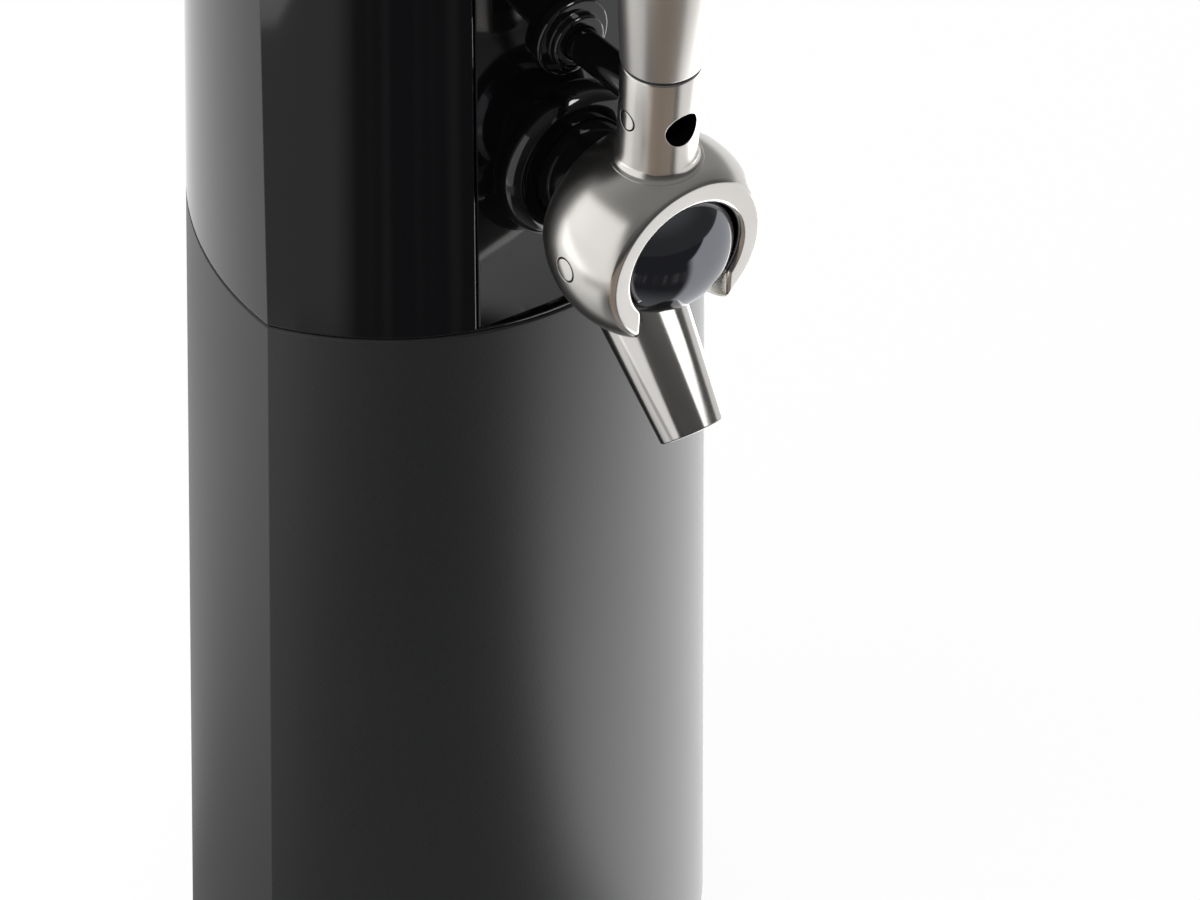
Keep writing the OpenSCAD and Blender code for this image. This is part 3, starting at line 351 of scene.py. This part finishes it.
def gloss_plastic(name, edge):
    material, wire, place = new_finish(name)
    wave = grain(wire, place, 30)
    dust = grain(wire, place, 1500)
    feed(material,
         Base_Color=wave.blend(tone(0.0025, 0.0025, 0.003), tone(0.0045, 0.0045, 0.0055)),
         Roughness=0.035 + 0.03 * wave + 0.12 * dust.between(0.68, 0.8),
         Normal=relief(wire, wave, 0.00002, edge))
    return material


gloss = gloss_plastic("gloss_black", 0.0005)
gloss_foot = gloss_plastic("gloss_black_foot", 0)
finishes["gloss_black_shell"] = gloss
print("gloss black head")

# %% Black of the tap and its valve
tap_black, wire, place = new_finish("gloss_black_tap")
flow = grain(wire, place, 60)
feed(tap_black,
     Base_Color=flow.blend(tone(0.002, 0.002, 0.0025), tone(0.0045, 0.0045, 0.005)),
     Roughness=0.04 + 0.05 * flow,
     Normal=relief(wire, flow, 0.000015))
finishes["gloss_black_tap"] = tap_black
valve_black, wire, place = new_finish("valve_black", Metallic=1.0)
sheen = grain(wire, place, 40)
feed(valve_black,
     Base_Color=sheen.blend(tone(0.18, 0.185, 0.205), tone(0.21, 0.215, 0.235)),
     Roughness=0.06 + 0.03 * sheen)
finishes["valve_black"] = valve_black
print("black tap and valve")

# %% [markdown]
# ### Stainless steel
# The ball and its collar are satin steel with a very fine grain, and the handle is a little duller, with
# its colour darkened as painted shade. The rim of the ball and the spout are polished brighter, and the
# spout's colour is darkened below the rim's as painted shade. All of them are full metals, so nearly all of
# their look is what they mirror.

# %% Satin steel


def shaded(red, green, blue, shade):
    return tone(red * shade, green * shade, blue * shade)


def satin_metal(name, roughness, shade):
    material, wire, place = new_finish(name, Metallic=1.0)
    fine = grain(wire, place, 5200)
    haze = grain(wire, place, 55)
    feed(material,
         Base_Color=(0.6 * fine + 0.4 * haze).blend(
             shaded(0.55, 0.53, 0.5, shade), shaded(0.68, 0.66, 0.63, shade)),
         Roughness=roughness + 0.06 * fine + 0.05 * haze,
         Normal=relief(wire, fine, 0.000004))
    return material


satin = satin_metal("satin_steel", 0.18, 1)
# Painted shade: the handle's steel colour is darkened to 0.88 of the ball's.
satin_handle = satin_metal("satin_handle", 0.27, 0.88)
finishes["satin_steel"] = satin
print("satin steel")

# %% Polished steel


def polished_metal(name, shade):
    material, wire, place = new_finish(name, Metallic=1.0)
    fine = grain(wire, place, 4800)
    smear = grain(wire, place, 70)
    feed(material,
         Base_Color=smear.blend(shaded(0.62, 0.6, 0.57, shade), shaded(0.72, 0.7, 0.68, shade)),
         Roughness=0.11 + 0.05 * smear + 0.04 * fine,
         Normal=relief(wire, fine, 0.0000015))
    return material


polished = polished_metal("polished_steel", 1)
# Painted shade: the spout's steel colour is darkened to 0.8 of the rim's.
polished_spout = polished_metal("polished_spout", 0.8)
finishes["polished_steel"] = polished
print("polished steel")

# %% [markdown]
# ### Inner parts
# Plastic, rubber, silicone and plated metal show when the head is lifted off or the door is open. They
# follow one pattern: two close tones mixed by a grain, with a roughness that follows it.

# %% Inner finishes


def moulded(name, dark, light, roughness, scale, depth, metallic=0.0):
    material, wire, place = new_finish(name, Metallic=metallic)
    spots = grain(wire, place, scale)
    patches = grain(wire, place, scale / 40)
    feed(material,
         Base_Color=(0.6 * spots + 0.4 * patches).blend(tone(*dark), tone(*light)),
         Roughness=roughness + 0.1 * spots + 0.06 * patches,
         Normal=relief(wire, spots, depth))
    finishes[name] = material


moulded("black_rubber", (0.012, 0.012, 0.013), (0.028, 0.028, 0.029), 0.6, 1800, 0.00006)
moulded("pale_silicone", (0.5, 0.47, 0.4), (0.66, 0.63, 0.56), 0.35, 500, 0.00001)
moulded("inner_plastic", (0.018, 0.019, 0.02), (0.034, 0.035, 0.037), 0.42, 2200, 0.00003)
moulded("white_plastic", (0.64, 0.63, 0.6), (0.76, 0.75, 0.72), 0.38, 1500, 0.00002)
moulded("sleeve_aluminium", (0.6, 0.61, 0.62), (0.74, 0.75, 0.76), 0.3, 3000, 0.000008, metallic=1.0)
moulded("plated_steel", (0.5, 0.5, 0.5), (0.66, 0.66, 0.67), 0.22, 3000, 0.000006, metallic=1.0)
moulded("brass_fittings", (0.58, 0.4, 0.16), (0.74, 0.56, 0.27), 0.25, 2600, 0.000006, metallic=1.0)
moulded("board_green", (0.01, 0.07, 0.035), (0.02, 0.13, 0.065), 0.3, 900, 0.00002)
moulded("cell_jacket", (0.2, 0.15, 0.07), (0.33, 0.27, 0.15), 0.28, 300, 0.00001, metallic=0.6)
for node in nodes.values():
    slot = node.material_slots[0]
    slot.material = finishes[slot.material.name]
print(len(finishes), "finishes on", len(nodes), "nodes")

# %% [markdown]
# ## Turned pieces
# The tap is lathe work. A turned piece starts as one point, is extruded along its outline and is spun round
# the axis, as one would do by hand in edit mode. A screw modifier would do the same, but the spin leaves a
# finished mesh at once. Outlines are lists of radius, height and corner radius in millimetres.

# %% Rounded outlines


def soft_corners(points, closed=False, cuts=6):
    """An outline with its corners rounded by arcs."""
    outline = []
    for i, (radius, height, corner) in enumerate(points):
        here = Vector((radius, height))
        if not corner or not closed and i in (0, len(points) - 1):
            outline.append(here)
            continue
        back = (Vector(points[i - 1][:2]) - here).normalized()
        ahead = (Vector(points[(i + 1) % len(points)][:2]) - here).normalized()
        half = acos(back.dot(ahead)) / 2
        centre = here + (back + ahead).normalized() * corner / sin(half)
        start = here + back * corner / tan(half) - centre
        end = here + ahead * corner / tan(half) - centre
        first = atan2(start.y, start.x)
        swing = (atan2(end.y, end.x) - first + pi) % (2 * pi) - pi
        for k in range(cuts + 1):
            turn = first + swing * k / cuts
            outline.append(centre + corner * Vector((cos(turn), sin(turn))))
    return outline + outline[:1] if closed else outline


print("outlines ready")

# %% Spinning an outline
merge_gap, smooth_angle = 2e-6, radians(35)


def turned(name, outline, steps, sweep=2 * pi):
    """Spins an outline round the Z axis and returns the piece."""
    deselect()
    bpy.ops.mesh.primitive_plane_add(size=MM)
    piece = bpy.context.object
    piece.name = name
    bpy.ops.object.mode_set(mode="EDIT")
    bpy.ops.mesh.select_mode(type="VERT")
    bpy.ops.mesh.merge(type="CENTER")
    bpy.ops.transform.translate(value=(outline[0].x * MM, 0, outline[0].y * MM))
    for here, there in zip(outline, outline[1:]):
        step = (there - here) * MM
        bpy.ops.mesh.extrude_vertices_move(TRANSFORM_OT_translate={"value": (step.x, 0, step.y)})
    bpy.ops.mesh.select_all(action="SELECT")
    bpy.ops.mesh.remove_doubles(threshold=merge_gap)
    bpy.ops.mesh.spin(steps=steps, angle=sweep, center=(0, 0, 0), axis=(0, 0, 1))
    bpy.ops.mesh.select_all(action="SELECT")
    bpy.ops.mesh.remove_doubles(threshold=merge_gap)
    bpy.ops.mesh.normals_make_consistent(inside=False)
    bpy.ops.object.mode_set(mode="OBJECT")
    return piece


print("points merged within", merge_gap / MM, "mm")

# %% Placing and cutting


def settle(piece, matrix, body, node, *materials):
    """Puts a piece in its place, gives it its finish and lets it stand for a CAD node."""
    deselect()
    piece.select_set(True)
    bpy.context.view_layer.objects.active = piece
    piece.matrix_world = matrix
    bpy.ops.object.transform_apply(location=True, rotation=True, scale=True)
    bpy.ops.object.shade_smooth_by_angle(angle=smooth_angle)
    for material in materials:
        piece.data.materials.append(material)
    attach(piece, body)
    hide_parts(node)
    print(piece.name, len(piece.data.polygons), "faces stand for", node)


def cut(piece, cutter):
    """Takes a cutter out of a piece, deletes the cutter and merges the doubled points along the cut."""
    deselect()
    bpy.context.view_layer.objects.active = piece
    piece.select_set(True)
    hole = piece.modifiers.new("hole", "BOOLEAN")
    hole.operation, hole.solver, hole.object = "DIFFERENCE", "EXACT", cutter
    bpy.ops.object.modifier_apply(modifier=hole.name)
    bpy.data.objects.remove(cutter)
    bpy.ops.object.mode_set(mode="EDIT")
    bpy.ops.mesh.select_all(action="SELECT")
    bpy.ops.mesh.remove_doubles(threshold=merge_gap)
    bpy.ops.object.mode_set(mode="OBJECT")


def at(x, y, z):
    return Matrix.Translation(Vector((x, y, z)) * MM)


def tipped(degrees):
    return Matrix.Rotation(radians(degrees), 4, "X")


forward = tipped(90)
pivot_lead, pivot_height, lever_lean = 104.0245, 305, 4
on_lever = at(0, -pivot_lead, pivot_height) @ tipped(lever_lean)
print("pivot", [round(v, 4) for v in on_lever.translation])

# %% [markdown]
# ### The ball of the lever
# The lever's ball is a thick hollow sphere, open to the front and the back and gapped below, so that from
# the front it looks like a horseshoe. A sphere with three holes cut out of it would have ragged edges.
# Instead the section of its wall, with rounded corners, is spun nearly once round the front axis, and each
# ring of points is then drawn back to end on the two flat walls of the gap.

# %% Section of the ball's wall
ball_radius, ball_inner, face_lead, face_bore, rear_opening, gap_half = 30, 23.2, 16, 18.6, 22.4, 15
rear_round, rim_round, bore_round, gap_round = 1.4, 2.6, 1.6, 1.2
rear_clear, front_clear, inner_clear = 0.15, 0.12, 0.06


def arc_points(radius, start, end, count):
    """Points of an arc about the centre, by their angle from the axis in radians."""
    turns = [start + (end - start) * k / count for k in range(count + 1)]
    return [(radius * sin(turn), radius * cos(turn), 0) for turn in turns]


rear_outer = pi - asin(rear_opening / ball_radius)
front_outer = acos(face_lead / ball_radius)
front_inner = asin(face_bore / ball_inner)
rear_inner = pi - asin(rear_opening / ball_inner)
wall_section = [(rear_opening, ball_radius * cos(rear_outer), rear_round)]
wall_section += arc_points(ball_radius, rear_outer - rear_clear, front_outer + front_clear, 26)
wall_section += [(ball_radius * sin(front_outer), face_lead, rim_round), (face_bore, face_lead, bore_round)]
wall_section += [(face_bore, ball_inner * cos(front_inner), 0)]
wall_section += arc_points(ball_inner, front_inner + inner_clear, rear_inner - inner_clear, 16)
wall_section += [(rear_opening, ball_inner * cos(rear_inner), 0)]
print("wall section", len(wall_section), "points")

# %% Spin the wall round
spun, rings, end_share, turn_slack = radians(359), 144, 0.018, 0.001


def ring_share(ring):
    """Even rings, with a wider one at each end as room for the rounded edges of the gap."""
    if ring in (0, rings):
        return ring / rings
    return end_share + (1 - 2 * end_share) * (ring - 1) / (rings - 2)


ball = turned("lever_ball", soft_corners(wall_section, closed=True), steps=rings, sweep=spun)
for point in ball.data.vertices:
    radius = hypot(point.co.x, point.co.y)
    share = ((-atan2(point.co.y, point.co.x) + turn_slack) % (2 * pi) - turn_slack) / spun
    gap = asin(gap_half * MM / radius)
    turn = gap + ring_share(round(share * rings)) * (2 * pi - 2 * gap) - pi / 2
    point.co.x, point.co.y = radius * cos(turn), radius * sin(turn)
print("ball spun,", len(ball.data.vertices), "points")

# %% Close and round the gap
wall_slack = 1e-6
for side in (-1, 1):
    bpy.ops.object.mode_set(mode="EDIT")
    bpy.ops.mesh.select_mode(type="VERT")
    bpy.ops.mesh.select_all(action="DESELECT")
    bpy.ops.object.mode_set(mode="OBJECT")
    for point in ball.data.vertices:
        point.select = point.co.y < 0 and abs(point.co.x - side * gap_half * MM) < wall_slack
    bpy.ops.object.mode_set(mode="EDIT")
    bpy.ops.mesh.edge_face_add()
    bpy.ops.mesh.bevel(offset=gap_round * MM, segments=6, affect="EDGES")
bpy.ops.mesh.select_all(action="SELECT")
bpy.ops.mesh.normals_make_consistent(inside=False)
bpy.ops.object.mode_set(mode="OBJECT")
ball.matrix_world = forward
bpy.ops.object.transform_apply(location=False, rotation=True, scale=False)
print("ball", len(ball.data.polygons), "faces")

# %% Holes for the pivot pins and polish on the rim
pivot_hole, through_ball, rim_depth = 3.75, 90, 0.9
deselect()
bpy.ops.mesh.primitive_cylinder_add(vertices=64, radius=pivot_hole * MM, depth=through_ball * MM,
                                    rotation=(0, pi / 2, 0))
cut(ball, bpy.context.object)
rim_faces = 0
ball.data.materials.append(satin)
ball.data.materials.append(polished)
for face in ball.data.polygons:
    if face.center.y < -(face_lead - rim_depth) * MM:
        face.material_index = 1
        rim_faces += 1
print("polished rim", rim_faces, "faces")

# %% [markdown]
# ### The collar
# The collar grows out of the ball with a fillet. Its foot is turned with that fillet and runs into the
# ball's wall, where the two surfaces touch without a step. A round hole in front, a slot behind for the
# push rod and two small holes for the link pin are cut out of it.

# %% Collar
collar_radius, collar_fillet, collar_top, link_height, hole_drop = 11.3, 3, 60.9, 44.5, 0.9
foot_radius, foot_low, foot_high, foot_lap, straight_low = 11.5, 25, 25.5, 0.02, 40
fillet_r = collar_radius + collar_fillet
fillet_z = sqrt((ball_radius + collar_fillet) ** 2 - fillet_r ** 2)
foot_turn = atan2(-fillet_z, -fillet_r) % (2 * pi)
collar_outline = [Vector((0, foot_low)), Vector((foot_radius, foot_high))]
for k in range(9):
    turn = foot_turn + foot_lap + (pi - foot_turn - foot_lap) * k / 8
    collar_outline.append(Vector((fillet_r, fillet_z)) + collar_fillet * Vector((cos(turn), sin(turn))))
collar_outline += soft_corners([
    (collar_radius, straight_low, 0), (collar_radius, collar_top, 0.5), (0, collar_top, 0)])
collar = turned("lever_collar", collar_outline, steps=160)
collar.data.materials.append(satin)
print("collar", len(collar.data.polygons), "faces")

# %% Holes in the collar
front_hole, hole_depth, link_hole, link_depth, link_side = 5.3, 30, 3.2, 8, 11
slot_size, slot_setback = (11, 36.9, 21.6), 11.55
deselect()
bpy.ops.mesh.primitive_cylinder_add(vertices=96, radius=front_hole * MM, depth=hole_depth * MM,
                                    rotation=(pi / 2, 0, 0),
                                    location=(0, -hole_depth / 2 * MM, (link_height - hole_drop) * MM))
cut(collar, bpy.context.object)
bpy.ops.mesh.primitive_cube_add(size=1, location=(0, slot_setback * MM, link_height * MM))
rod_slot = bpy.context.object
rod_slot.dimensions = Vector(slot_size) * MM
cut(collar, rod_slot)
for side in (-1, 1):
    bpy.ops.mesh.primitive_cylinder_add(vertices=48, radius=link_hole * MM, depth=link_depth * MM,
                                        rotation=(0, pi / 2, 0),
                                        location=(side * link_side * MM, 0, link_height * MM))
    cut(collar, bpy.context.object)
print("collar with its holes", len(collar.data.polygons), "faces")

# %% Painted shade inside the collar, and the lever in one piece
skin, painted_shade_low = 0.6, 30
# Painted shade: the faces of the bore and slot inside the steel collar get the black tap finish, where the
# steel is only in shadow.
collar.data.materials.append(tap_black)
for face in collar.data.polygons:
    inside = hypot(face.center.x, face.center.y) < (collar_radius - skin) * MM
    if inside and painted_shade_low * MM < face.center.z < (collar_top - skin) * MM:
        face.material_index = 1
deselect()
collar.select_set(True)
ball.select_set(True)
bpy.context.view_layer.objects.active = ball
bpy.ops.object.join()
settle(ball, on_lever, "lever", "lever_yoke")

# %% [markdown]
# ### Handle and cap
# The handle is a tapered bar that widens upwards, turned with a soft lower edge, and its cap is a low dome.
# A fine line stays open between the two.

# %% Handle
ring_top, handle_top, handle_radius, handle_end, dome_height = 61.8, 137.8, 11.6, 17.07, 9
handle = turned("handle_bar", soft_corners([
    (0, ring_top, 0), (handle_radius, ring_top, 0.7), (handle_end, handle_top, 0.35),
    (0, handle_top, 0)]), steps=160)
settle(handle, on_lever, "lever", "tap_handle", satin_handle)

# %% Cap of the handle
dome = (handle_end ** 2 + dome_height ** 2) / (2 * dome_height)
dome_edge, dome_share, dome_steps = asin(handle_end / dome), 0.93, 16
cap_outline = [(0, handle_top, 0), (handle_end, handle_top, 0.3)]
cap_outline += [(dome * sin(turn), handle_top + dome_height - dome + dome * cos(turn), 0)
                for turn in [dome_edge * dome_share * (1 - k / dome_steps) for k in range(dome_steps + 1)]]
cap = turned("handle_dome", soft_corners(cap_outline), steps=128)
settle(cap, on_lever, "lever", "handle_cap", satin_handle)

# %% [markdown]
# ### Spout
# The spout is a plain cone with a thin rounded lip and a straight bore, so one closed outline gives its
# outside, its lip and its bore at once.

# %% Spout
spout_setback, spout_pitch, spout_drop = 29, -39.5, 75
on_spout = at(0, spout_setback - pivot_lead, pivot_height) @ tipped(spout_pitch) @ at(0, 0, -spout_drop)
spout_tip, spout_root, spout_length, spout_bore, spigot_radius, spigot_top = 9.5, 13.07, 42, 7, 8.9, 52.2
spout = turned("spout_cone", soft_corners([
    (spout_bore, 0, 0.7), (spout_tip, 0, 0.5), (spout_root, spout_length, 0.5),
    (spigot_radius, spout_length, 0.2), (spigot_radius, spigot_top, 0.3),
    (spout_bore, spigot_top, 0.3)], closed=True), steps=144)
settle(spout, on_spout, "head", "spout", polished_spout)

# %% [markdown]
# ### Flange and gland
# Behind the ball the shank goes through a black flange, and above it the push rod comes out of a stepped
# bush. Both have full round rims that catch a thin line of light.

# %% Flange
panel_face, shank_height, rod_height = -66.02, 307, 349.39
flange_radius, flange_bore, flange_lead, flange_root = 23, 15.15, 5.5, -1.5
flange = turned("tap_flange", soft_corners([
    (flange_radius, flange_root, 0), (flange_radius, flange_lead, 4.8),
    (flange_bore, flange_lead, 0.6), (flange_bore, flange_root, 0)], closed=True, cuts=10), steps=144)
settle(flange, at(0, panel_face, shank_height) @ forward, "head", "shank_flange", tap_black)

# %% Gland
gland_radius, gland_lead, step_radius, step_lead, gland_bore, gland_root = 12, 2.5, 8.4, 5.5, 5.15, -1
gland = turned("rod_bush", soft_corners([
    (gland_radius, gland_root, 0), (gland_radius, gland_lead, 1.1),
    (step_radius, gland_lead, 0.5), (step_radius, step_lead, 1),
    (gland_bore, step_lead, 0.5), (gland_bore, gland_root, 0)], closed=True), steps=128)
settle(gland, at(0, panel_face, rod_height) @ forward, "head", "rod_gland", tap_black)

# %% [markdown]
# ### Foot of the tap panel
# The panel is flatter than the casing round it, and at its foot it leans forward onto the casing's ledge.
# The curve could be sculpted, but it follows a plain rule: a grid is extruded to a thin block, and every
# point then gets its place from how far it lies across and up. Its back is sunk into the panel, so that its
# front grows out of the panel without a step, and it stands on the ledge.

# %% Panel foot
casing_radius, casing_centre, panel_radius, panel_lean = 87.5, 17, 460, 0.0109
ledge_top, foot_half, foot_height, foot_share = 261.35, 29.5, 22, 0.5
back_sink, front_sink, ledge_gap = 0.3, 0.02, 0.02
deselect()
bpy.ops.mesh.primitive_grid_add(x_subdivisions=48, y_subdivisions=16, size=1)
panel_foot = bpy.context.object
panel_foot.name = "panel_foot"
bpy.ops.object.mode_set(mode="EDIT")
bpy.ops.mesh.select_all(action="SELECT")
bpy.ops.mesh.extrude_region_move(TRANSFORM_OT_translate={"value": (0, 0, 1)})
bpy.ops.object.mode_set(mode="OBJECT")
for point in panel_foot.data.vertices:
    x, rise, lead = point.co.x * 2 * foot_half, point.co.y + 0.5, point.co.z
    panel_y = panel_face + panel_radius - sqrt(panel_radius ** 2 - x ** 2)
    casing_y = casing_centre - sqrt(casing_radius ** 2 - x ** 2)
    swell = foot_share * (panel_y - casing_y) * (1 - rise) ** 2
    sink = front_sink - swell if lead > 0.5 else back_sink
    height = rise * foot_height
    point.co = Vector((x, panel_y + panel_lean * height + sink, ledge_top + ledge_gap + height)) * MM
bpy.ops.object.mode_set(mode="EDIT")
bpy.ops.mesh.select_all(action="SELECT")
bpy.ops.mesh.normals_make_consistent(inside=False)
bpy.ops.object.mode_set(mode="OBJECT")
bpy.ops.object.shade_smooth_by_angle(angle=smooth_angle)
panel_foot.data.materials.append(gloss_foot)
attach(panel_foot, "head")
print("panel foot", len(panel_foot.data.polygons), "faces")

# %% [markdown]
# ### Springs of the push rod
# Two coil springs inside the head bring the rod back to its middle place. A ring of wire drawn out by the
# Screw modifier makes a coil, and its rise per turn is the pitch. A coil that stayed stiff would be run
# through by the rod's stop as the rod moves. These coils keep their length.

# %% Springs
spring_wire, spring_turns = 1, 5
rod_joint = next(joint for joint in frame["joints"] if joint["name"] == "rod_slide")
rod_travel = max(abs(limit) for limit in rod_joint["range_m"]) / MM
for node, coil_name, wall_side in (("front_spring", "front_coil", 0), ("rear_spring", "rear_coil", 1)):
    ends = [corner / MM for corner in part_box(node)]
    length, mean_radius = ends[1].y - ends[0].y, ends[1].x - spring_wire / 2
    deselect()
    bpy.ops.mesh.primitive_circle_add(vertices=10, radius=spring_wire / 2 * MM, rotation=(pi / 2, 0, 0),
                                      location=(mean_radius * MM, 0, spring_wire / 2 * MM))
    coil = bpy.context.object
    coil.name = coil_name
    bpy.ops.object.transform_apply(location=True, rotation=True, scale=True)
    winding = coil.modifiers.new("winding", "SCREW")
    winding.screw_offset, winding.iterations = (length - spring_wire) / spring_turns * MM, spring_turns
    winding.steps = winding.render_steps = 32
    bpy.ops.object.modifier_apply(modifier=winding.name)
    bpy.ops.object.mode_set(mode="EDIT")
    bpy.ops.mesh.select_all(action="SELECT")
    bpy.ops.mesh.fill_holes(sides=0)
    bpy.ops.mesh.select_all(action="SELECT")
    bpy.ops.mesh.normals_make_consistent(inside=False)
    bpy.ops.object.mode_set(mode="OBJECT")
    settle(coil, at(0, ends[0].y, rod_height) @ tipped(-90), "head", node, finishes["plated_steel"])
    1 - rod_travel / length
    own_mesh(coil)
    print(coil_name, round(length, 2), "mm long, squashed by", round(rod_travel, 2), "mm")

# %% [markdown]
# ## Which lamp shines on what
# Polished surfaces mirror every lamp, and some of those mirror images would be blotches. Light linking
# limits a lamp to the pieces of a collection, or keeps it off them.

# %% Link the lamps


def shine_on(lamp, *pieces, state="INCLUDE"):
    receivers = bpy.data.collections.new(lamp.name + "_receivers")
    for piece in pieces:
        receivers.objects.link(piece)
    for entry in receivers.collection_objects:
        entry.light_linking.link_state = state
    lamp.light_linking.receiver_collection = receivers
    print(lamp.name, state.lower(), [piece.name for piece in pieces])


shine_on(spout_lamp, spout)
shine_on(warm_lamp, ball, handle, cap)
shine_on(top_lamp, flange, gland, nodes["tap_shank"])
shine_on(right_lamp, nodes["valve_ball"], state="EXCLUDE")
